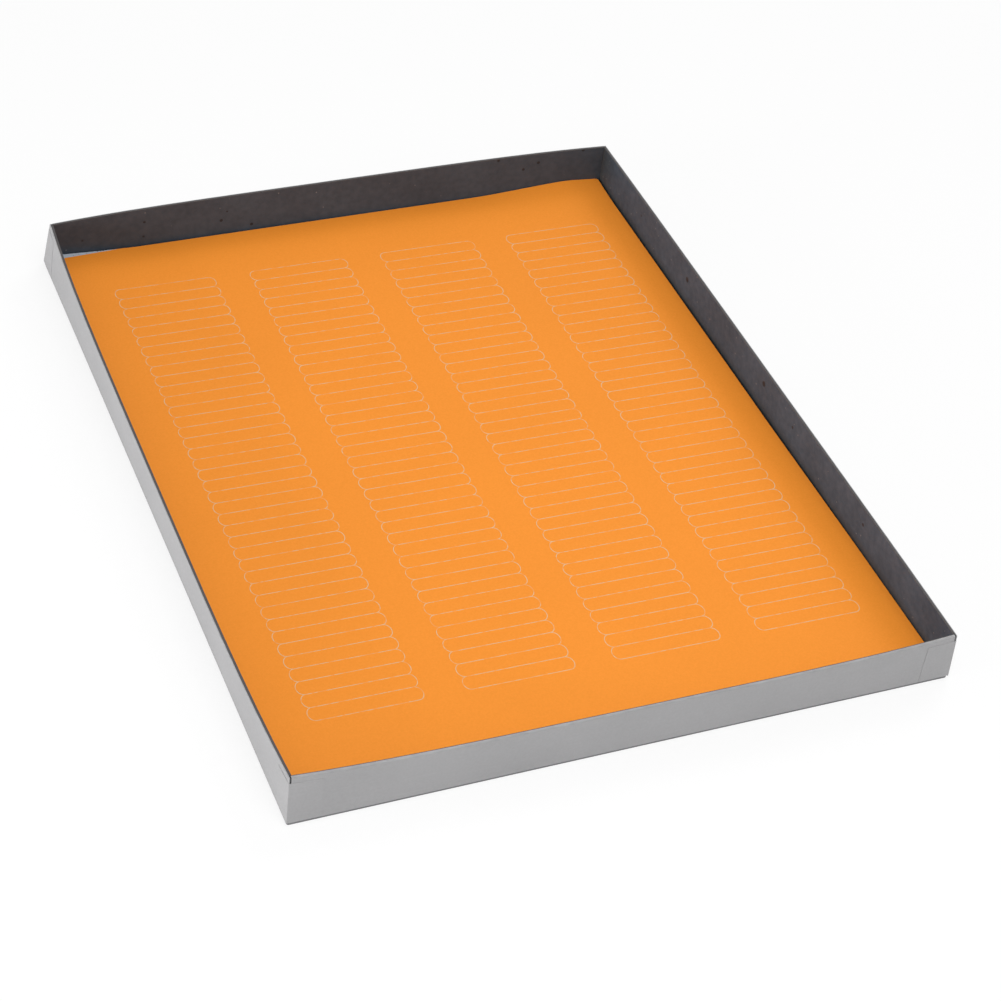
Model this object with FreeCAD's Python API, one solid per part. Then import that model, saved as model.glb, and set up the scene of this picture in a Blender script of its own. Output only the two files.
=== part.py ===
"""Wet palette: a shallow open tray of lined walls, with a sponge pad and a palette sheet lying in it.

Millimetres. X runs across the tray, Y along it and Z up, from the centre of the floor plate's underside.
"""
import FreeCAD
import Part
import os

# The tray at its foot, and its height from the surface it stands on
FOOT_WIDTH = 302.6
FOOT_LENGTH = 386.4
HEIGHT = 25.5

# How far each corner of the rim stands inside the corner of the foot, across the tray and along it
RIM_LEAN = {
    "front_left": (0.7, 2.1),
    "front_right": (1.1, 0.3),
    "back_right": (0.7, 1.8),
    "back_left": (2.5, 3.3),
}

# How far the middle of each rim bows outward from the line between its corners
RIM_BOW = {"left": 3.4, "right": 0.5, "front": 2.9, "back": 3.3}

# The walls' two layers, of which the front skin is folded over into the rim, and the floor plate that carries them
WALL_THICK = 1.4
SKIN_THICK = {"left": 0.3, "right": 0.3, "front": 1.1, "back": 0.3}
FRONT_RIM_RADIUS = 0.7
FLOOR_THICK = 1.2
FLOOR_SET_BACK = 0.3
FLOOR_CORNER_RADIUS = 1.0

# Open seams between the layers' ends
SKIN_SLIT = 0.7
LINER_SEAM = 0.3

# Strips folded round the outside of the corners, short of the rim and clear of the floor plate
STAY_THICK = 0.15
STAY_LEG_X = 14.0
STAY_LEG_Y = 11.0
STAY_BELOW_RIM = 3.0
STAY_FOOT = 1.6
STAY_CORNER_RADIUS = 0.3

# The loose pieces inside, which stay this far clear of the rim's opening so that they lift straight out
LIFT_CLEARANCE = 0.35
PAD_WIDTH = 298.4
PAD_LENGTH = 382.6
PAD_TOP = 3.6
PAD_CORNER_RADIUS = 4.0
SHEET_CENTRE = (1.0, 2.9)
SHEET_WIDTH = 295.2
SHEET_LENGTH = 376.6
SHEET_THICK = 0.4
SHEET_RADII = {"front_left": 4.0, "front_right": 4.0, "back_right": 4.0, "back_left": 14.0}

# How far the surfaces that cut the walls run past them
PAST_END = 5.0
PAST_TOP = 2.0

Vector = FreeCAD.Vector

# The sides of the tray that each corner is on, and each wall's two corners and the way that it faces
CORNERS = {"front_left": (-1, -1), "front_right": (1, -1), "back_right": (1, 1), "back_left": (-1, 1)}
WALLS = {
    "left": ("front_left", "back_left", Vector(-1, 0, 0)),
    "back": ("back_left", "back_right", Vector(0, 1, 0)),
    "right": ("back_right", "front_right", Vector(1, 0, 0)),
    "front": ("front_right", "front_left", Vector(0, -1, 0)),
}
SIDES = ("left", "right")
ENDS = ("front", "back")


def rise(z):
    """Height as a share of the wall, 0 at its foot on the floor plate and 1 at the rim."""
    return (z - FLOOR_THICK) / (HEIGHT - FLOOR_THICK)


def corner(name, z):
    """The tray's outer corner at height z."""
    side_x, side_y = CORNERS[name]
    lean_x, lean_y = RIM_LEAN[name]
    x = side_x * (FOOT_WIDTH / 2 - lean_x * rise(z))
    y = side_y * (FOOT_LENGTH / 2 - lean_y * rise(z))
    return Vector(x, y, z)


def depths(depth):
    """The same depth for every wall."""
    return {wall: depth for wall in WALLS}


def deeper(each, more):
    return {wall: depth + more for wall, depth in each.items()}


def bowed_line(start, end, out, reach):
    """A quartic curve from start to end, bowed by the vector out, flat in the middle and steep near the corners.

    The bow is zero at the wall's corners. The curve runs past them: reach is its half length over the wall's.
    On a fourth power of the distance from the middle, the poles stand on its two sides in turn.
    """
    fall = reach ** 4
    poles = []
    for i in range(5):
        along = start + (end - start) * (i / 4)
        poles.append(along + out * (1 - fall * (-1) ** i))
    curve = Part.BezierCurve()
    curve.setPoles(poles)
    return curve.toShape()


def wall_line(wall, z, depth):
    """A wall's outer face at height z, or a face this deep inside it, drawn past both corners."""
    first, last, out = WALLS[wall]
    start = corner(first, z) - out * depth
    end = corner(last, z) - out * depth
    length = start.distanceToPoint(end)
    past = (end - start) * (PAST_END / length)
    return bowed_line(start - past, end + past, out * (RIM_BOW[wall] * rise(z)), 1 + 2 * PAST_END / length)


def section(walls, z, depth):
    """Outline at height z between two opposite walls' faces, each as deep inside its wall as depth says."""
    first, second = walls
    return joined(wall_line(first, z, depth[first]), wall_line(second, z, depth[second]))


def joined(first, second):
    """A closed wire of two curves and the straight lines between their ends."""
    there = Part.makeLine(first.lastVertex().Point, second.firstVertex().Point)
    back_again = Part.makeLine(second.lastVertex().Point, first.firstVertex().Point)
    return Part.Wire([first, there, second, back_again])


def between(walls, depth):
    """The space between two opposite walls, past the rim, the foot and the other two walls."""
    low = section(walls, FLOOR_THICK - PAST_TOP, depth)
    high = section(walls, HEIGHT + PAST_TOP, depth)
    return Part.makeLoft([low, high], True, True)


def rim_opening(clearance):
    """The space straight below the four lines between the rim's inner corners, this far clear of them."""
    inset = WALL_THICK + clearance
    points = []
    for name, (side_x, side_y) in CORNERS.items():
        points.append(corner(name, HEIGHT) - Vector(side_x, side_y, 0) * inset)
    return Part.Face(Part.makePolygon(points + points[:1])).extrude(Vector(0, 0, -HEIGHT))


def level_band(low, high):
    """Everything between two heights."""
    side = 2 * (FOOT_WIDTH + FOOT_LENGTH)
    return Part.makeBox(side, side, high - low, Vector(-side / 2, -side / 2, low))


def pair(shape, along):
    """The two solids of a shape, the lower one first along an axis."""
    return sorted(shape.Solids, key=lambda solid: solid.CenterOfMass.dot(along))


def rounded_plate(width, length, radii, low, high, centre=(0, 0)):
    """A flat plate with a radius at each corner."""
    left, right = centre[0] - width / 2, centre[0] + width / 2
    front, back = centre[1] - length / 2, centre[1] + length / 2
    corners = (
        ("front_left", Vector(left, front, low), Vector(0, 1, 0), Vector(1, 0, 0)),
        ("front_right", Vector(right, front, low), Vector(-1, 0, 0), Vector(0, 1, 0)),
        ("back_right", Vector(right, back, low), Vector(0, -1, 0), Vector(-1, 0, 0)),
        ("back_left", Vector(left, back, low), Vector(1, 0, 0), Vector(0, -1, 0)),
    )
    arcs = []
    for name, point, before, after in corners:
        radius = radii[name]
        middle = point + (before + after) * (radius * (1 - 0.5 ** 0.5))
        arcs.append(Part.Arc(point + before * radius, middle, point + after * radius).toShape())
    edges = []
    for arc, following in zip(arcs, arcs[1:] + arcs[:1]):
        edges.append(arc)
        edges.append(Part.makeLine(arc.lastVertex().Point, following.firstVertex().Point))
    return Part.Face(Part.Wire(edges)).extrude(Vector(0, 0, high - low))


def same_radius(radius):
    return {name: radius for name in CORNERS}


def make_floor():
    width = FOOT_WIDTH - 2 * FLOOR_SET_BACK
    length = FOOT_LENGTH - 2 * FLOOR_SET_BACK
    return {"floor_plate": rounded_plate(width, length, same_radius(FLOOR_CORNER_RADIUS), 0, FLOOR_THICK)}


def make_walls():
    """Skins outside and liners inside, cut by the same surfaces so that they seat face to face.

    The side skins run the whole length and the end skins stand between them, short of them by the slit. The end
    liners run between the side skins, and the side liners stand between the end liners, short of them by the seam.
    """
    wall = level_band(FLOOR_THICK, HEIGHT)
    inner = depths(WALL_THICK)
    within_side_skins = between(SIDES, SKIN_THICK)
    within_end_skins = between(ENDS, SKIN_THICK)
    outside = wall.common(between(SIDES, depths(0))).common(between(ENDS, depths(0)))
    side_skins = outside.cut(within_side_skins)
    end_skins = outside.common(between(SIDES, deeper(SKIN_THICK, SKIN_SLIT))).cut(within_end_skins)
    lined = wall.common(within_side_skins).common(within_end_skins)
    end_liners = lined.cut(between(ENDS, inner))
    side_liners = lined.common(between(ENDS, deeper(inner, LINER_SEAM))).cut(between(SIDES, inner))
    across, along = Vector(1, 0, 0), Vector(0, 1, 0)
    nodes = {}
    nodes["left_skin"], nodes["right_skin"] = pair(side_skins, across)
    front_skin, nodes["back_skin"] = pair(end_skins, along)
    nodes["front_skin"] = folded_over(front_skin)
    nodes["left_liner"], nodes["right_liner"] = pair(side_liners, across)
    nodes["front_liner"], nodes["back_liner"] = pair(end_liners, along)
    return nodes


def folded_over(front_skin):
    """The front skin with the round of its fold along the rim's outer edge."""
    rim_edges = [edge for edge in front_skin.Edges if edge.BoundBox.ZMin > HEIGHT - FRONT_RIM_RADIUS]
    fold = min(rim_edges, key=lambda edge: edge.CenterOfMass.y)
    return front_skin.makeFillet(FRONT_RIM_RADIUS, [fold])


def make_corner_stays():
    """Thin strips folded round the outside of the corners, over the seams."""
    height = level_band(STAY_FOOT, HEIGHT - STAY_BELOW_RIM)
    tray = between(SIDES, depths(0)).common(between(ENDS, depths(0)))
    wrapped = between(SIDES, depths(-STAY_THICK)).common(between(ENDS, depths(-STAY_THICK)))
    shell = height.common(wrapped).cut(tray)
    block = FOOT_WIDTH
    nodes = {}
    for name, (side_x, side_y) in CORNERS.items():
        middle = corner(name, HEIGHT)
        x = middle.x + side_x * (block / 2 - STAY_LEG_X)
        y = middle.y + side_y * (block / 2 - STAY_LEG_Y)
        near = Part.makeBox(block, block, block, Vector(x - block / 2, y - block / 2, -block / 2))
        stay = shell.common(near).Solids[0]
        outward = Vector(side_x, side_y, 0)
        fold = max(stay.Edges, key=lambda edge: edge.CenterOfMass.dot(outward))
        nodes["corner_stay_" + name] = stay.makeFillet(STAY_CORNER_RADIUS, [fold])
    return nodes


def make_contents():
    """The pad fills the floor and the sheet lies on it, both cut to pass the rim's opening."""
    opening = rim_opening(LIFT_CLEARANCE)
    pad = rounded_plate(PAD_WIDTH, PAD_LENGTH, same_radius(PAD_CORNER_RADIUS), FLOOR_THICK, PAD_TOP)
    sheet = rounded_plate(SHEET_WIDTH, SHEET_LENGTH, SHEET_RADII, PAD_TOP, PAD_TOP + SHEET_THICK, SHEET_CENTRE)
    return {"sponge_pad": pad.common(opening), "palette_sheet": sheet.common(opening)}


def main():
    os.makedirs("parts", exist_ok=True)
    nodes = {**make_floor(), **make_walls(), **make_corner_stays(), **make_contents()}
    for name, shape in nodes.items():
        solid = shape.Solids[0]
        print(name, "valid" if solid.isValid() else "NOT VALID", round(solid.Volume, 1), "mm3")
        solid.exportStep("parts/" + name + ".step")


main()
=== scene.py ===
"""Looks of the wet palette: a grey tray with a dark lining, a damp sponge pad and an orange palette sheet.

Metres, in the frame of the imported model. Sizes written in millimetres are multiplied by MM.
"""
import math

import bmesh
import bpy
from mathutils import Matrix, Vector, noise


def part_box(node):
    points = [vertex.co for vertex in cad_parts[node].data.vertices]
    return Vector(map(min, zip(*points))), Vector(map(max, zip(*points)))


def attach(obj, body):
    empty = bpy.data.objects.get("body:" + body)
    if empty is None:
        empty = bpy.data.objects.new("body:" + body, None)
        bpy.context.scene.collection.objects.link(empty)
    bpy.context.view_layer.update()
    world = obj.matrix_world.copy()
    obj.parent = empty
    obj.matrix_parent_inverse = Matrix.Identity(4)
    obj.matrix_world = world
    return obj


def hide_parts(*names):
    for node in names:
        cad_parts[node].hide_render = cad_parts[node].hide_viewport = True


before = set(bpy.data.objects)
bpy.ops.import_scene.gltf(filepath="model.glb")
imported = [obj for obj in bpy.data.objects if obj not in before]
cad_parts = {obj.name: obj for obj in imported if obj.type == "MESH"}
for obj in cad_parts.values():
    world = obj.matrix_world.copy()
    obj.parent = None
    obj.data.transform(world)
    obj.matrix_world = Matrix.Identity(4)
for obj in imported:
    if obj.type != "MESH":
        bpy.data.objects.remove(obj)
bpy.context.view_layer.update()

MM = 0.001

# The camera, as the photograph was taken
CAMERA_PLACE = (-0.40185, -0.84048, 0.78220)
CAMERA_AZIMUTH = math.radians(26.6956)
CAMERA_DOWN = math.radians(40.8737)
CAMERA_ROLL = math.radians(7.6955)
CAMERA_SENSOR = 36.0
CAMERA_LENS = 93.79
CAMERA_NEAREST = 0.05
CAMERA_FARTHEST = 50.0

# Light: an even surround, and lamps above the front, beyond the far right corner and on the left
SURROUND = 0.50
LAMPS = {
    "key_lamp": {"place": (-0.05, -0.7, 1.3), "side": 1.0, "power": 10.2},
    "rear_lamp": {"place": (1.5, 1.25, 1.85), "side": 1.2, "power": 14.0},
    "fill_lamp": {"place": (-1.3, -0.15, 0.21), "side": 0.4, "power": 7.2},
}

# The floor: its side, how much of its own shading shows, and its tone, and the white of the surround
FLOOR_SIDE = 8.0
FLOOR_SHADE = 0.22
FLOOR_TONE = (0.96, 0.96, 0.96, 1)
WHITE = (1, 1, 1, 1)

# Tones of the board, its streaks and its rims, as linear red, green and blue with a full alpha; the dark rim
# is painted shade and the pale rim is wear with painted highlight
GREY = (0.376, 0.372, 0.378, 1)
STAY_GREY = (0.380, 0.376, 0.382, 1)
# The floor plate's board, darker than the walls': painted shade under the walls' overhang.
FLOOR_PLATE_SHADE_GREY = (0.20, 0.20, 0.205, 1)
STREAK = (0.72, 0.72, 0.74, 1)
RIM_WEAR_AND_HIGHLIGHT = (0.74, 0.75, 0.78, 1)
RIM_PAINTED_SHADE = (0.18, 0.175, 0.18, 1)

# Tones of the lining, which differ from wall to wall as painted light, and of its specks, pits and rim
DARK = (0.052, 0.060, 0.068, 1)
# The back and right tones are cooler: painted to cancel the warm light that the orange sheet reflects onto
# those walls.
BACK_DARK_AGAINST_REFLECTION = (0.047, 0.061, 0.078, 1)
RIGHT_DARK_AGAINST_REFLECTION = (0.050, 0.081, 0.116, 1)
# Painted shade at the right lining's foot and by the back corner: darker and without the cooler tint.
RIGHT_FOOT_AND_CORNER_SHADE = (0.046, 0.054, 0.060, 1)
SPECK = (0.3, 0.29, 0.29, 1)
# The pits' near black is painted shade in them.
PIT_SHADE = (0.012, 0.011, 0.012, 1)
DARK_RIM = (0.07, 0.066, 0.067, 1)

# Tones of the sheet, its cut edge, the ink on it and the sponge, whose hollow cells get painted shade
ORANGE = (0.90, 0.288, 0.027, 1)
PAPER_EDGE = (0.62, 0.50, 0.40, 1)
INK = (0.70, 0.485, 0.285, 1)
SPONGE = (0.50, 0.55, 0.62, 1)
SPONGE_HOLLOW_SHADE = (0.26, 0.30, 0.36, 1)

# The right lining's painted shade, at its foot and by the back corner: where it is full and where it has gone
SHADE_HEIGHTS = (4 * MM, 9 * MM)
SHADE_PLACES = (190 * MM, 172 * MM)

# Single pits in the linings, painted dark as shade in them: place and radius in millimetres
RIGHT_PITS = (
    ((149.7, 82.2, 16.5), 1.7),
    ((149.6, -5.8, 18.1), 1.7),
    ((149.6, -37.5, 16.5), 1.0),
    ((149.5, -109.6, 17.3), 1.0),
    ((149.7, 139.5, 16.3), 0.8),
)
BACK_PITS = (
    ((112.9, 192.0, 20.1), 1.0),
    ((104.7, 192.1, 17.0), 0.9),
    ((137.6, 191.0, 25.0), 1.1),
    ((89.9, 192.6, 24.4), 0.9),
    ((-60.4, 192.0, 11.6), 1.0),
    ((-100.6, 191.5, 17.5), 0.8),
)

# Spots in general: the share of cells that have none, and the share of a spot's radius that is soft
SPOT_NONE = 0.35
SPOT_SOFT = 0.3

# Every material: how strongly its relief shows, and the sockets of the Mix node that are for colours
BUMP_STRENGTH = 0.6
MIX_SHARE = 0
MIX_FIRST = 6
MIX_SECOND = 7
MIX_RESULT = 2

# The palette sheet: its reach past the rigid one at the back, its corners' radii, and the steps of its grid
SHEET_PAST = 1.6 * MM
SHEET_CORNERS = {(-1, -1): 4 * MM, (1, -1): 4 * MM, (1, 1): 1.5 * MM, (-1, 1): 4 * MM}
SHEET_STEP = 4.5 * MM
SHEET_EDGE_ZONE = 16 * MM
SHEET_EDGE_STEP = 1.4 * MM

# Its outline: the back edge falls short to the left, steeply in the corner, and the front right is wider
SHEET_SHORT = 1.1 * MM
SHEET_SHORT_FROM = 90 * MM
SHEET_NOTCH = 3.4 * MM
SHEET_NOTCH_FROM = -113 * MM
SHEET_WIDER = 0.6 * MM
SHEET_WIDER_FROM = -20 * MM
SHEET_WIDER_OVER = 90 * MM

# How it lies: slow waves, and the back edge curled up near the right but less so at the corner
SHEET_WAVE = 0.12 * MM
SHEET_WAVE_LENGTH = 95 * MM
SHEET_CURL = 2.5 * MM
SHEET_CURL_FROM = 75 * MM
SHEET_CURL_OVER = 60 * MM
SHEET_CURL_FALL = 0.6
SHEET_CURL_FALL_FROM = 127 * MM
SHEET_CURL_FALL_OVER = 24 * MM
SHEET_CURL_DEPTH = 22 * MM
SHEET_CURL_POWER = 1.5

# The sponge pad: its reach past the rigid one at the back, its corners, rounded edge and its grid's steps
PAD_PAST = 1.5 * MM
PAD_CORNER = 4 * MM
PAD_EDGE = 0.6 * MM
PAD_EDGE_ZONE = 4 * PAD_EDGE
PAD_EDGE_STEP = PAD_EDGE / 2
PAD_STEP = 3 * MM

# How far each corner of the pad is set in, across the tray and along it, to pass the leaning walls
PAD_SET_IN = {
    (-1, -1): (0.0, 1.8 * MM),
    (1, -1): (0.4 * MM, 0.0),
    (1, 1): (0.0, 0.0),
    (-1, 1): (1.8 * MM, 0.0),
}

# The swell in the pad's back left corner, and the hollows of its open cells
PAD_SWELL = 2.3 * MM
PAD_SWELL_REACH = 45 * MM
PAD_SWELL_POWER = 1.2
PAD_HOLLOW = 0.25 * MM
PAD_HOLLOW_LENGTH = 7 * MM

# The printed lanes: columns of long rounded outlines that share their straight lines, in rows a little askew
LANE_COLUMNS = 4
LANE_ROWS = 39
LANE_CENTRE = (2.98 * MM, 4.63 * MM)
LANE_COLUMN_PITCH = 68.71 * MM
LANE_PITCH = 7.771 * MM
LANE_LENGTH = 50.8 * MM
LANE_CAP = 2.9 * MM
LANE_ROW_SLOPE = -0.0118
LANE_COLUMN_SLOPE = -0.0009
LANE_LINE = 0.34 * MM
LANE_ARC_STEPS = 12
LANE_RUN_STEPS = 8
LANE_MERGE = 0.01 * MM
INK_ABOVE = 0.02 * MM
INK_THICK = 0.03 * MM

# Meshes: the angle from which an edge is sharp, and a number that stands in for zero in a division
SHARP_ANGLE = math.radians(40)
NEARLY_ZERO = 1e-6


class Paint:
    """A material built by short calls, each of which adds nodes and gives an output."""

    def __init__(self, name):
        self.material = bpy.data.materials.new(name)
        self.material.use_nodes = True
        self.tree = self.material.node_tree
        self.shader = self.tree.nodes["Principled BSDF"]
        self.place = self.node("TexCoord").outputs["Object"]

    def node(self, kind, inputs=None, **settings):
        made = self.tree.nodes.new("ShaderNode" + kind)
        for key, value in settings.items():
            setattr(made, key, value)
        for key, value in (inputs or {}).items():
            self.feed(made.inputs[key], value)
        return made

    def feed(self, socket, value):
        if isinstance(value, bpy.types.NodeSocket):
            self.tree.links.new(value, socket)
        else:
            socket.default_value = value

    def stretched(self, sizes):
        """The place divided by a feature size along each axis."""
        scale = [1 / size for size in sizes]
        return self.node("Mapping", {"Vector": self.place, "Scale": scale}).outputs["Vector"]

    def along(self, axis):
        """The place along one axis, X, Y or Z."""
        return self.node("SeparateXYZ", {"Vector": self.place}).outputs[axis]

    def noise(self, size, detail, place=None):
        """Cloudy variation from 0 to 1 with features of about this size."""
        inputs = {"Vector": place or self.place, "Scale": 1 / size, "Detail": detail}
        return self.node("TexNoise", inputs).outputs["Fac"]

    def remap(self, value, low, high, at_low=0.0, at_high=1.0):
        inputs = {"Value": value, "From Min": low, "From Max": high, "To Min": at_low, "To Max": at_high}
        return self.node("MapRange", inputs).outputs["Result"]

    def vary(self, size, detail, reach, spread):
        """A cloudy factor about 1, off by all of the spread where the noise is this reach from its middle."""
        return self.remap(self.noise(size, detail), 0.5 - reach, 0.5 + reach, 1 - spread, 1 + spread)

    def combine(self, operation, first, second):
        return self.node("Math", {0: first, 1: second}, operation=operation).outputs["Value"]

    def product(self, first, second):
        return self.combine("MULTIPLY", first, second)

    def spots(self, spacing, radius):
        """Round spots, 1 inside and 0 outside, of uneven size up to this radius."""
        cells = self.node("TexVoronoi", {"Vector": self.place, "Scale": 1 / spacing})
        chance = self.node("SeparateColor", {"Color": cells.outputs["Color"]}).outputs["Red"]
        reach = self.remap(chance, SPOT_NONE, 1.0, 0.0, radius / spacing)
        inside = self.combine("SUBTRACT", reach, cells.outputs["Distance"])
        return self.remap(inside, 0.0, SPOT_SOFT * radius / spacing)

    def spot_at(self, centre, radius):
        """One round spot, 1 inside and 0 outside."""
        inputs = {0: self.place, 1: centre}
        away = self.node("VectorMath", inputs, operation="DISTANCE").outputs["Value"]
        return self.remap(away, (1 - SPOT_SOFT) * radius, radius, 1.0, 0.0)

    def mix(self, share, first, second, blend_type="MIX"):
        made = self.node("Mix", data_type="RGBA", blend_type=blend_type)
        self.feed(made.inputs[MIX_SHARE], share)
        self.feed(made.inputs[MIX_FIRST], first)
        self.feed(made.inputs[MIX_SECOND], second)
        return made.outputs[MIX_RESULT]

    def shaded(self, tone, factor):
        return self.mix(1.0, tone, factor, "MULTIPLY")

    def over(self, colour, tone, share, strength):
        """A colour with a tone laid over it where the share is 1, this strongly."""
        return self.mix(self.product(share, strength), colour, tone)

    def finish(self, colour, roughness, relief, relief_depth, specular):
        bump = self.node("Bump", {"Height": relief, "Strength": BUMP_STRENGTH, "Distance": relief_depth})
        self.feed(self.shader.inputs["Base Color"], colour)
        self.feed(self.shader.inputs["Roughness"], roughness)
        self.feed(self.shader.inputs["Normal"], bump.outputs["Normal"])
        self.shader.inputs["Specular IOR Level"].default_value = specular
        return self.material


def grey_board(name, tone, rim_tone):
    """Matt grey board: cloudy tone, fine grain, faint streaks along it and a band of the rim tone along its
    rim, which is painted shade where dark and wear with painted highlight where pale.
    """
    paint = Paint(name)
    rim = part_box("left_skin")[1].z
    spread = 0.04
    cloud = paint.vary(size=45 * MM, detail=4, reach=0.25, spread=0.05)
    grain = paint.vary(size=1.1 * MM, detail=2, reach=0.3, spread=spread)
    colour = paint.shaded(tone, paint.product(cloud, grain))
    streak = paint.noise(size=1.0, detail=3, place=paint.stretched((40 * MM, 40 * MM, 0.9 * MM)))
    colour = paint.mix(paint.remap(streak, 0.6, 0.75, at_high=0.06), colour, STREAK)
    # The rim band: a dark rim tone is painted shade, a pale one is wear with painted highlight.
    retoned = paint.remap(paint.along("Z"), rim - 1.1 * MM, rim - 0.1 * MM)
    patchy = paint.remap(paint.noise(size=6 * MM, detail=4), 0.4, 0.65, at_low=0.2, at_high=0.9)
    colour = paint.over(colour, rim_tone, paint.product(retoned, patchy), strength=0.35)
    roughness = paint.remap(grain, 1 - spread, 1 + spread, at_low=0.62, at_high=0.52)
    relief = paint.noise(size=0.7 * MM, detail=3)
    return paint.finish(colour, roughness, relief, relief_depth=0.08 * MM, specular=0.25)


def dark_lining(name, tone, single_pits=(), shade_tone=None):
    """Dark lining: cloudy, with small pits and pale specks, and single larger pits at given places; the pits
    are painted dark as shade in them.

    Where given, a darker tone of painted shade takes over by the sheet and towards the back corner.
    """
    paint = Paint(name)
    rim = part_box("left_liner")[1].z
    spread = 0.12
    cloud = paint.vary(size=32 * MM, detail=4, reach=0.2, spread=0.15)
    mottle = paint.vary(size=3.5 * MM, detail=3, reach=0.2, spread=spread)
    # Painted shade: by the sheet and towards the back corner the tone turns to the darker shade tone.
    if shade_tone:
        above = paint.remap(paint.along("Z"), *SHADE_HEIGHTS)
        before = paint.remap(paint.along("Y"), *SHADE_PLACES)
        tone = paint.mix(paint.product(above, before), shade_tone, tone)
    colour = paint.shaded(tone, paint.product(cloud, mottle))
    specks = paint.spots(spacing=5 * MM, radius=0.5 * MM)
    colour = paint.over(colour, SPECK, specks, strength=0.5)
    # Pits dip in the relief and are painted dark: painted shade in them.
    pits = paint.spots(spacing=11 * MM, radius=1.1 * MM)
    for centre, radius in single_pits:
        pits = paint.combine("MAXIMUM", pits, paint.spot_at(Vector(centre) * MM, radius * MM))
    colour = paint.over(colour, PIT_SHADE, pits, strength=0.85)
    # The top edge keeps a neutral dark, without the cooler tint painted against the sheet's reflected light.
    edge = paint.remap(paint.along("Z"), rim - 0.3 * MM, rim - 0.1 * MM)
    colour = paint.mix(edge, colour, DARK_RIM)
    roughness = paint.remap(mottle, 1 - spread, 1 + spread, at_low=0.7, at_high=0.55)
    relief = paint.combine("SUBTRACT", paint.noise(size=0.8 * MM, detail=3), pits)
    return paint.finish(colour, roughness, relief, relief_depth=0.1 * MM, specular=0.3)


def board_floor(name, outside, inside):
    """The floor plate: grey board below, darkened as painted shade, and dark lining on its upper face."""
    paint = Paint(name)
    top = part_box("floor_plate")[1].z
    spread = 0.06
    cloud = paint.vary(size=40 * MM, detail=4, reach=0.2, spread=0.1)
    grain = paint.vary(size=1.2 * MM, detail=2, reach=0.3, spread=spread)
    lined = paint.remap(paint.along("Z"), top - 0.2 * MM, top - 0.15 * MM)
    colour = paint.shaded(paint.mix(lined, outside, inside), paint.product(cloud, grain))
    roughness = paint.remap(grain, 1 - spread, 1 + spread, at_low=0.7, at_high=0.58)
    relief = paint.noise(size=0.8 * MM, detail=3)
    return paint.finish(colour, roughness, relief, relief_depth=0.08 * MM, specular=0.25)


def matt_paper(name, tone):
    """Matt paper: a close fibre grain and hardly any clouding."""
    paint = Paint(name)
    spread = 0.03
    cloud = paint.vary(size=70 * MM, detail=3, reach=0.2, spread=0.015)
    fibre = paint.vary(size=0.9 * MM, detail=4, reach=0.25, spread=spread)
    colour = paint.shaded(tone, paint.product(cloud, fibre))
    roughness = paint.remap(fibre, 1 - spread, 1 + spread, at_low=0.75, at_high=0.62)
    relief = paint.noise(size=0.6 * MM, detail=4)
    return paint.finish(colour, roughness, relief, relief_depth=0.03 * MM, specular=0.2)


def pale_ink(name, tone, worn_tone):
    """Thin pale ink that has worn through in places."""
    paint = Paint(name)
    retoned = paint.remap(paint.noise(size=2.6 * MM, detail=3), 0.46, 0.62, at_high=0.7)
    colour = paint.mix(retoned, tone, worn_tone)
    roughness = paint.remap(retoned, 0.0, 0.75, at_low=0.6, at_high=0.7)
    relief = paint.noise(size=0.5 * MM, detail=2)
    return paint.finish(colour, roughness, relief, relief_depth=0.01 * MM, specular=0.2)


def cellulose_sponge(name, tone, hollow_shade):
    """Damp pale sponge with open cells of two sizes, the cells darkened with painted shade."""
    paint = Paint(name)
    large = paint.spots(spacing=3.2 * MM, radius=1.1 * MM)
    small = paint.spots(spacing=1.4 * MM, radius=0.5 * MM)
    cells = paint.combine("MAXIMUM", large, small)
    cloud = paint.vary(size=30 * MM, detail=4, reach=0.2, spread=0.07)
    # The open cells are painted darker: painted shade in the hollows.
    colour = paint.over(paint.shaded(tone, cloud), hollow_shade, cells, strength=0.7)
    roughness = paint.remap(cells, 0.0, 1.0, at_low=0.6, at_high=0.85)
    relief = paint.combine("SUBTRACT", paint.noise(size=0.9 * MM, detail=3), cells)
    return paint.finish(colour, roughness, relief, relief_depth=0.4 * MM, specular=0.35)


def dress(node, material):
    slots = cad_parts[node].data.materials
    slots.clear()
    slots.append(material)


def mesh_piece(name, build, materials, body):
    """A new piece from a bmesh, with smooth faces and sharp edges, riding on a body."""
    mesh = bpy.data.meshes.new(name)
    build.normal_update()
    build.to_mesh(mesh)
    build.free()
    mesh.polygons.foreach_set("use_smooth", [True] * len(mesh.polygons))
    mesh.set_sharp_from_angle(angle=SHARP_ANGLE)
    for material in materials:
        mesh.materials.append(material)
    piece = bpy.data.objects.new(name, mesh)
    bpy.context.scene.collection.objects.link(piece)
    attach(piece, body)
    return piece


def graded(half, edge_zone, edge_step, step):
    """Places from -half to half: close together near both edges and wider apart between."""
    near = round(edge_zone / edge_step)
    wide = math.ceil(2 * (half - edge_zone) / step)
    places = [-half + edge_zone * i / near for i in range(near)]
    places += [(half - edge_zone) * (2 * i / wide - 1) for i in range(wide + 1)]
    places += [half - edge_zone * (1 - i / near) for i in range(1, near + 1)]
    return places


def rounded_corner(x, y, half_x, half_y, radius):
    """A point of a rectangle, drawn in where it is in the corner's square so that the corner is round."""
    along = (abs(x) - (half_x - radius)) / radius
    up = (abs(y) - (half_y - radius)) / radius
    if along <= 0 or up <= 0:
        return x, y
    inner_x = half_x - radius + radius * along * math.sqrt(1 - up * up / 2)
    inner_y = half_y - radius + radius * up * math.sqrt(1 - along * along / 2)
    return math.copysign(inner_x, x), math.copysign(inner_y, y)


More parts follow.
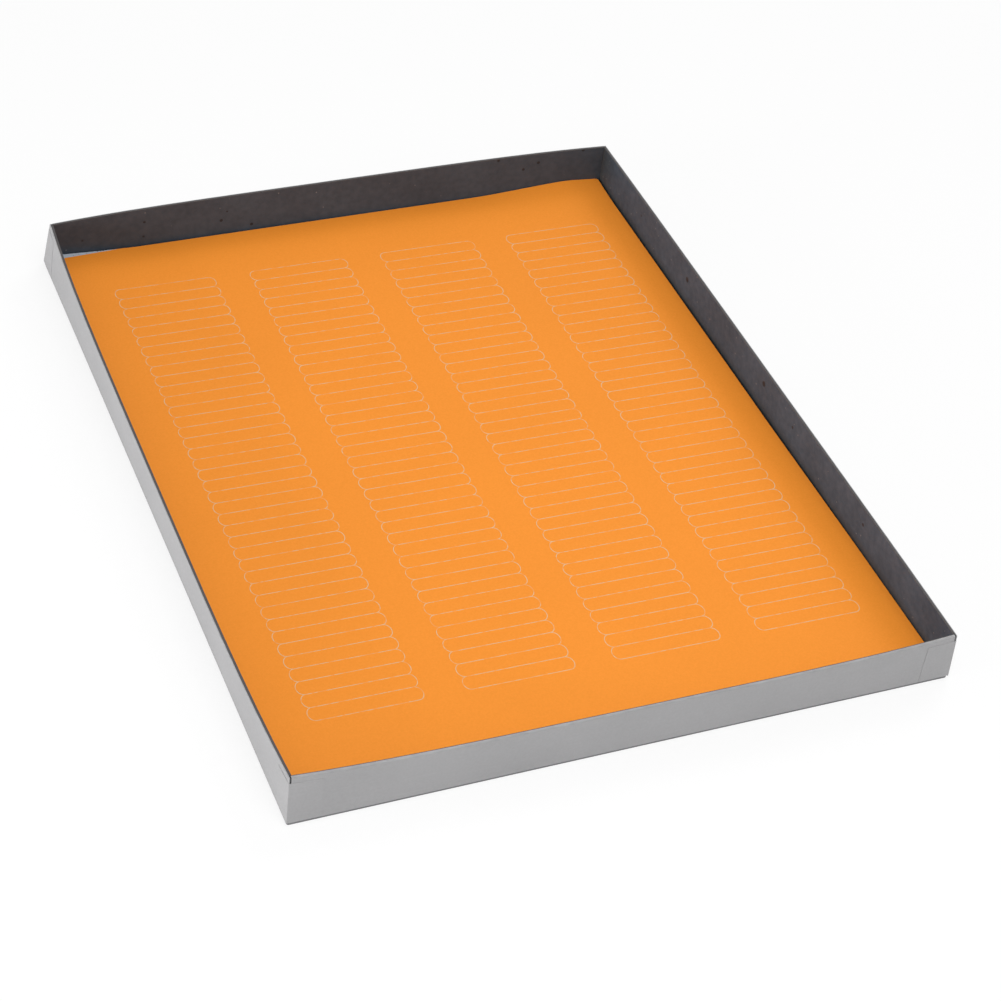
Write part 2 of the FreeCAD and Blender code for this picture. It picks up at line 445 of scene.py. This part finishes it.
def slab(columns, rows, place_at, top_at, bottom_at):
    """A closed thin slab over a grid: place_at moves the grid's points, top_at and bottom_at give heights.

    Its sides have the second material.
    """
    build = bmesh.new()
    layers = []
    for height_at in (top_at, bottom_at):
        layer = []
        for y in rows:
            line = []
            for x in columns:
                moved_x, moved_y = place_at(x, y)
                line.append(build.verts.new((moved_x, moved_y, height_at(moved_x, moved_y))))
            layer.append(line)
        layers.append(layer)
    top, bottom = layers
    for j in range(len(rows) - 1):
        for i in range(len(columns) - 1):
            build.faces.new((top[j][i], top[j][i + 1], top[j + 1][i + 1], top[j + 1][i]))
            build.faces.new((bottom[j][i], bottom[j + 1][i], bottom[j + 1][i + 1], bottom[j][i + 1]))
    last_i, last_j = len(columns) - 1, len(rows) - 1
    border = [(i, 0) for i in range(last_i)]
    border += [(last_i, j) for j in range(last_j)]
    border += [(i, last_j) for i in range(last_i, 0, -1)]
    border += [(0, j) for j in range(last_j, 0, -1)]
    for (i, j), (next_i, next_j) in zip(border, border[1:] + border[:1]):
        side = build.faces.new((bottom[j][i], bottom[next_j][next_i], top[next_j][next_i], top[j][i]))
        side.material_index = 1
    return build


sheet_low, sheet_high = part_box("palette_sheet")
sheet_high.y += SHEET_PAST
sheet_middle = (sheet_low + sheet_high) / 2
sheet_half = (sheet_high - sheet_low) / 2
pad_low, pad_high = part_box("sponge_pad")
pad_high.y += PAD_PAST
pad_middle = (pad_low + pad_high) / 2
pad_half = (pad_high - pad_low) / 2


def clamped(value):
    return min(1.0, max(0.0, value))


def eased(value):
    """A smooth step from 0 to 1."""
    value = clamped(value)
    return value * value * (3 - 2 * value)


def sheet_place(x, y):
    """The sheet's outline, from places about its middle: rounded corners and edges out of square."""
    corner = SHEET_CORNERS[(1 if x > 0 else -1, 1 if y > 0 else -1)]
    x, y = rounded_corner(x, y, sheet_half.x, sheet_half.y, corner)
    x, y = x + sheet_middle.x, y + sheet_middle.y
    wider = clamped((SHEET_WIDER_FROM - y) / SHEET_WIDER_OVER)
    shorter = max(0.0, (SHEET_SHORT_FROM - x) / (SHEET_SHORT_FROM - sheet_low.x))
    notch = max(0.0, (SHEET_NOTCH_FROM - x) / (SHEET_NOTCH_FROM - sheet_low.x))
    x += SHEET_WIDER * wider * max(0.0, x / sheet_high.x)
    y -= (SHEET_SHORT * shorter + SHEET_NOTCH * notch) * max(0.0, y / sheet_high.y)
    return x, y


def corner_swell(x, y):
    """How far the damp pad stands up in the back left corner, with the sheet on it."""
    across = max(0.0, 1 - (x - pad_low.x) / PAD_SWELL_REACH)
    along = max(0.0, 1 - (pad_high.y - y) / PAD_SWELL_REACH)
    return PAD_SWELL * (across * along) ** PAD_SWELL_POWER


def sheet_top(x, y):
    """How the sheet lies: nearly flat, with slow waves, its back edge curled up near the right."""
    wave = 0.5 + 0.5 * noise.noise(Vector((x / SHEET_WAVE_LENGTH, y / SHEET_WAVE_LENGTH, 0.0)))
    along = max(0.0, 1 - (sheet_high.y - y) / SHEET_CURL_DEPTH)
    fall = SHEET_CURL_FALL * eased((x - SHEET_CURL_FALL_FROM) / SHEET_CURL_FALL_OVER)
    curl = eased((x - SHEET_CURL_FROM) / SHEET_CURL_OVER) * (1 - fall) * along ** SHEET_CURL_POWER
    return sheet_high.z + SHEET_WAVE * wave + SHEET_CURL * curl + corner_swell(x, y)


def sheet_bottom(x, y):
    return sheet_top(x, y) - (sheet_high.z - sheet_low.z)


def pad_shift(x, y):
    """How far a place about the pad's middle moves so that the pad's corners are set in."""
    shift_x, shift_y = 0.0, 0.0
    for (side_x, side_y), (in_x, in_y) in PAD_SET_IN.items():
        share = (1 + side_x * x / pad_half.x) * (1 + side_y * y / pad_half.y) / 4
        shift_x -= side_x * in_x * share
        shift_y -= side_y * in_y * share
    return shift_x, shift_y


def pad_place(x, y):
    """The pad's outline, from places about its middle: rounded corners, set in to pass the walls."""
    x, y = rounded_corner(x, y, pad_half.x, pad_half.y, PAD_CORNER)
    shift_x, shift_y = pad_shift(x, y)
    return x + shift_x + pad_middle.x, y + shift_y + pad_middle.y


def pad_edge_drop(x, y):
    """How far the pad's faces draw in near its edge."""
    x, y = x - pad_middle.x, y - pad_middle.y
    shift_x, shift_y = pad_shift(x, y)
    from_edge = min(pad_half.x - abs(x - shift_x), pad_half.y - abs(y - shift_y))
    short = max(0.0, PAD_EDGE - from_edge)
    return PAD_EDGE - math.sqrt(max(0.0, PAD_EDGE ** 2 - short ** 2))


def pad_top(x, y):
    open_cell = noise.noise(Vector((x / PAD_HOLLOW_LENGTH, y / PAD_HOLLOW_LENGTH, 0.0)))
    return pad_high.z + corner_swell(x, y) - PAD_HOLLOW * max(0.0, open_cell) - pad_edge_drop(x, y)


def pad_bottom(x, y):
    return pad_low.z + pad_edge_drop(x, y)


def lane_loops(first, last):
    """Inner and outer outline of one lane's share of the print, about its centre.

    Lanes share their straight lines, so a lane's share ends at the line's middle, except on the outside of
    the first and last lanes of a column. The ends are half ellipses.
    """
    radius = LANE_PITCH / 2
    run = LANE_LENGTH / 2 - LANE_CAP
    near, wide = radius - LANE_LINE / 2, radius + LANE_LINE / 2
    cap_near, cap_wide = LANE_CAP - LANE_LINE / 2, LANE_CAP + LANE_LINE / 2
    cusp = math.asin(radius / wide)
    turns = [math.pi * (i / LANE_ARC_STEPS - 0.5) for i in range(LANE_ARC_STEPS + 1)]
    turns = sorted(turns + [-cusp, cusp])
    inner, outer = [], []
    for end in (1, -1):
        for turn in turns:
            up, along = end * math.sin(turn), end * math.cos(turn)
            whole = (up < 0 and first) or (up > 0 and last)
            reach = wide if whole else min(wide, radius / max(abs(up), NEARLY_ZERO))
            inner.append((end * run + cap_near * along, near * up))
            outer.append((end * run + cap_wide * reach / wide * along, reach * up))
        near_now, up_now = inner[-1][1], outer[-1][1]
        for i in range(1, LANE_RUN_STEPS):
            x = end * run * (1 - 2 * i / LANE_RUN_STEPS)
            inner.append((x, near_now))
            outer.append((x, up_now))
    return inner, outer


def lane_column(centre_x):
    """One column of printed lanes as a thin closed layer that lies on the sheet."""
    build = bmesh.new()
    for row in range(LANE_ROWS):
        centre_y = (row - (LANE_ROWS - 1) / 2) * LANE_PITCH
        rings = []
        for loop in lane_loops(row == 0, row == LANE_ROWS - 1):
            ring = []
            for x, y in loop:
                grid_x, grid_y = centre_x + x, centre_y + y
                px = LANE_CENTRE[0] + grid_x + LANE_COLUMN_SLOPE * grid_y
                py = LANE_CENTRE[1] + grid_y + LANE_ROW_SLOPE * grid_x
                ring.append(build.verts.new((px, py, sheet_top(px, py) + INK_ABOVE)))
            rings.append(ring)
        inner, outer = rings
        for i in range(len(inner)):
            j = (i + 1) % len(inner)
            build.faces.new((inner[i], outer[i], outer[j], inner[j]))
    bmesh.ops.remove_doubles(build, verts=build.verts, dist=LANE_MERGE)
    bmesh.ops.solidify(build, geom=build.faces[:], thickness=INK_THICK)
    bmesh.ops.recalc_face_normals(build, faces=build.faces[:])
    return build


def make_camera():
    data = bpy.data.cameras.new("camera")
    data.sensor_width = CAMERA_SENSOR
    data.lens = CAMERA_LENS
    data.clip_start = CAMERA_NEAREST
    data.clip_end = CAMERA_FARTHEST
    camera = bpy.data.objects.new("camera", data)
    bpy.context.scene.collection.objects.link(camera)
    level = Vector((math.cos(CAMERA_AZIMUTH), -math.sin(CAMERA_AZIMUTH), 0.0))
    ahead = Vector((
        math.sin(CAMERA_AZIMUTH) * math.cos(CAMERA_DOWN),
        math.cos(CAMERA_AZIMUTH) * math.cos(CAMERA_DOWN),
        -math.sin(CAMERA_DOWN),
    ))
    right = level * math.cos(CAMERA_ROLL) + level.cross(ahead) * math.sin(CAMERA_ROLL)
    turn = Matrix((right, right.cross(ahead), -ahead)).transposed().to_4x4()
    camera.matrix_world = Matrix.Translation(CAMERA_PLACE) @ turn
    bpy.context.scene.camera = camera


def make_lamp(name, place, side, power):
    """A square lamp that points at the middle of the tray's foot."""
    data = bpy.data.lights.new(name, "AREA")
    data.shape = "SQUARE"
    data.size = side
    data.energy = power
    lamp = bpy.data.objects.new(name, data)
    lamp.location = place
    lamp.rotation_euler = (-Vector(place)).to_track_quat("-Z", "Y").to_euler()
    bpy.context.scene.collection.objects.link(lamp)


def seen_share(tree):
    """1 for rays from the camera, off gloss and through glass, and 0 for the light that falls on things."""
    path = tree.nodes.new("ShaderNodeLightPath")
    share = path.outputs["Is Camera Ray"]
    for name in ("Is Glossy Ray", "Is Transmission Ray"):
        either = tree.nodes.new("ShaderNodeMath")
        either.operation = "MAXIMUM"
        tree.links.new(share, either.inputs[0])
        tree.links.new(path.outputs[name], either.inputs[1])
        share = either.outputs["Value"]
    return share


def make_world():
    """White where it is seen, and dimmer as a light."""
    world = bpy.data.worlds.new("studio")
    world.use_nodes = True
    bpy.context.scene.world = world
    tree = world.node_tree
    strength = tree.nodes.new("ShaderNodeMapRange")
    strength.inputs["To Min"].default_value = SURROUND
    strength.inputs["To Max"].default_value = 1.0
    tree.links.new(seen_share(tree), strength.inputs["Value"])
    background = tree.nodes["Background"]
    background.inputs["Color"].default_value = WHITE
    tree.links.new(strength.outputs["Result"], background.inputs["Strength"])


def make_floor():
    """White floor: mostly plain white where it is seen, with enough of its own shading to keep the shadow."""
    build = bmesh.new()
    bmesh.ops.create_grid(build, x_segments=1, y_segments=1, size=FLOOR_SIDE / 2)
    mesh = bpy.data.meshes.new("floor")
    build.to_mesh(mesh)
    build.free()
    material = bpy.data.materials.new("floor_white")
    material.use_nodes = True
    tree = material.node_tree
    tree.nodes.clear()
    shaded = tree.nodes.new("ShaderNodeBsdfDiffuse")
    shaded.inputs["Color"].default_value = FLOOR_TONE
    white = tree.nodes.new("ShaderNodeEmission")
    share = tree.nodes.new("ShaderNodeMapRange")
    share.inputs["To Max"].default_value = 1 - FLOOR_SHADE
    tree.links.new(seen_share(tree), share.inputs["Value"])
    both = tree.nodes.new("ShaderNodeMixShader")
    tree.links.new(share.outputs["Result"], both.inputs["Fac"])
    tree.links.new(shaded.outputs["BSDF"], both.inputs[1])
    tree.links.new(white.outputs["Emission"], both.inputs[2])
    output = tree.nodes.new("ShaderNodeOutputMaterial")
    tree.links.new(both.outputs["Shader"], output.inputs["Surface"])
    mesh.materials.append(material)
    floor = bpy.data.objects.new("floor", mesh)
    bpy.context.scene.collection.objects.link(floor)


def dress_tray():
    rim_shade_board = grey_board("grey_rim_shade", GREY, RIM_PAINTED_SHADE)
    worn_and_lit_rim_board = grey_board("grey_rim_wear_and_highlight", GREY, RIM_WEAR_AND_HIGHLIGHT)
    stay_grey = grey_board("stay_grey", STAY_GREY, RIM_WEAR_AND_HIGHLIGHT)
    # Left and front rims get painted shade; right and back rims, and the stays, get wear with painted
    # highlight.
    skins = {"left": rim_shade_board, "right": worn_and_lit_rim_board, "front": rim_shade_board, "back": worn_and_lit_rim_board}
    # The back and right linings have cooler tones painted against the sheet's reflected light.
    linings = {
        "left": dark_lining("lining_left", DARK),
        # The right lining gets painted shade at its foot and by the back corner.
        "right": dark_lining("lining_right", RIGHT_DARK_AGAINST_REFLECTION, RIGHT_PITS, RIGHT_FOOT_AND_CORNER_SHADE),
        "front": dark_lining("lining_front", DARK),
        "back": dark_lining("lining_back", BACK_DARK_AGAINST_REFLECTION, BACK_PITS),
    }
    for side in skins:
        dress(side + "_skin", skins[side])
        dress(side + "_liner", linings[side])
    for corner in ("front_left", "front_right", "back_left", "back_right"):
        dress("corner_stay_" + corner, stay_grey)
    dress("floor_plate", board_floor("floor_board", FLOOR_PLATE_SHADE_GREY, DARK))


def make_pad():
    columns = graded(pad_half.x, PAD_EDGE_ZONE, PAD_EDGE_STEP, PAD_STEP)
    rows = graded(pad_half.y, PAD_EDGE_ZONE, PAD_EDGE_STEP, PAD_STEP)
    build = slab(columns, rows, pad_place, pad_top, pad_bottom)
    material = cellulose_sponge("sponge_damp", SPONGE, SPONGE_HOLLOW_SHADE)
    pad = mesh_piece("sponge", build, (material, material), "sponge")
    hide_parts("sponge_pad")
    return pad


def make_sheet(pad):
    columns = graded(sheet_half.x, SHEET_EDGE_ZONE, SHEET_EDGE_STEP, SHEET_STEP)
    rows = graded(sheet_half.y, SHEET_EDGE_ZONE, SHEET_EDGE_STEP, SHEET_STEP)
    build = slab(columns, rows, sheet_place, sheet_top, sheet_bottom)
    papers = (matt_paper("orange_paper", ORANGE), matt_paper("paper_edge", PAPER_EDGE))
    sheet = mesh_piece("orange_sheet", build, papers, "sheet")
    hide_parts("palette_sheet")
    ink = pale_ink("lane_ink", INK, ORANGE)
    for column in range(LANE_COLUMNS):
        build = lane_column((column - (LANE_COLUMNS - 1) / 2) * LANE_COLUMN_PITCH)
        mesh_piece("lane_print_%d" % (column + 1), build, (ink,), "sheet")


bpy.context.scene.view_settings.view_transform = "Standard"
make_camera()
for name, lamp in LAMPS.items():
    make_lamp(name, **lamp)
make_world()
make_floor()
dress_tray()
make_sheet(make_pad())
